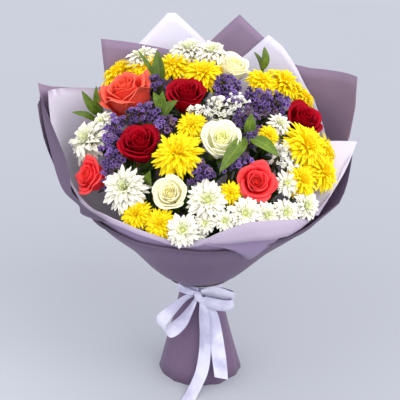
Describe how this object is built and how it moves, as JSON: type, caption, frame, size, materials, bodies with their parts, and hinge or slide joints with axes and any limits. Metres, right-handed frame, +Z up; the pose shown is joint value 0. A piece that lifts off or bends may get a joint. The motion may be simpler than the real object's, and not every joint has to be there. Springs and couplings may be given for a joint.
{
  "type": "mixed flower bouquet",
  "caption": "Hand-tied bouquet of roses, chrysanthemums and statice in flared two-tone wrap with a satin bow, standing on its cut stems.",
  "frame": {"origin": "middle of the centre stem's cut face, on the table under the binding point", "axes": "+Z up the stems, +X to the right of the bouquet's face, -Y out of its face, towards whoever looks at it"},
  "size_m": [0.4003, 0.2651, 0.467],
  "materials": {
    "rose_coral": "soft matte petals",
    "rose_red": "velvety petals",
    "rose_white": "soft matte petals",
    "rose_cream": "soft matte petals",
    "chrysanthemum_yellow": "soft matte petals",
    "chrysanthemum_white": "soft matte petals",
    "statice_purple": "papery matte",
    "statice_white": "papery matte",
    "stem": "waxy green",
    "leaf": "satin green",
    "paper_mauve": "matte paper",
    "paper_lilac": "matte paper",
    "raffia": "dry fibre",
    "satin": "satin"
  },
  "bodies": {
    "root": {"rose_coral_upper_left_head": "rose_coral", "rose_coral_left_edge_head": "rose_coral", "rose_coral_lower_right_head": "rose_coral", "rose_red_top_head": "rose_red", "rose_red_left_head": "rose_red", "rose_red_right_edge_head": "rose_red", "rose_white_centre_head": "rose_white", "rose_cream_lower_head": "rose_cream", "rose_cream_top_head": "rose_cream", "rose_coral_upper_left_stem": "stem", "rose_coral_left_edge_stem": "stem", "rose_coral_lower_right_stem": "stem", "rose_red_top_stem": "stem", "rose_red_left_stem": "stem", "rose_red_right_edge_stem": "stem", "rose_white_centre_stem": "stem", "rose_cream_lower_stem": "stem", "rose_cream_top_stem": "stem", "chrysanthemum_yellow_centre": "chrysanthemum_yellow", "chrysanthemum_yellow_top": "chrysanthemum_yellow", "chrysanthemum_yellow_top_right": "chrysanthemum_yellow", "chrysanthemum_yellow_right_edge": "chrysanthemum_yellow", "chrysanthemum_yellow_right_middle": "chrysanthemum_yellow", "chrysanthemum_yellow_lower_left": "chrysanthemum_yellow", "chrysanthemum_yellow_lower": "chrysanthemum_yellow", "chrysanthemum_white_left_edge": "chrysanthemum_white", "chrysanthemum_white_middle": "chrysanthemum_white", "chrysanthemum_white_lower_left": "chrysanthemum_white", "chrysanthemum_white_lower_middle": "chrysanthemum_white", "chrysanthemum_white_lower_right": "chrysanthemum_white", "chrysanthemum_white_top": "chrysanthemum_white", "chrysanthemum_white_top_left": "chrysanthemum_white", "chrysanthemum_white_right": "chrysanthemum_white", "statice_purple_left": "statice_purple", "statice_purple_upper_left": "statice_purple", "statice_purple_top_left": "statice_purple", "statice_purple_inner_left": "statice_purple", "statice_purple_top": "statice_purple", "statice_purple_right": "statice_purple", "statice_purple_middle": "statice_purple", "statice_purple_lower": "statice_purple", "statice_purple_low_right": "statice_purple", "statice_white_centre": "statice_white", "statice_white_right": "statice_white", "leafy_stem_upper_left": "leaf", "leafy_stem_top_left": "leaf", "leafy_stem_inner_left": "leaf", "leafy_stem_middle": "leaf", "leafy_stem_lower_left": "leaf", "leafy_stem_top_right": "leaf", "paper_lining_front": "paper_lilac", "paper_lining_right": "paper_lilac", "paper_panel_upper_left": "paper_mauve", "paper_peak_mauve": "paper_mauve", "paper_peak_lilac": "paper_lilac", "paper_wrap_back": "paper_mauve", "paper_wrap_front": "paper_mauve", "binding": "raffia", "ribbon": "satin"}
  },
  "joints": []
}
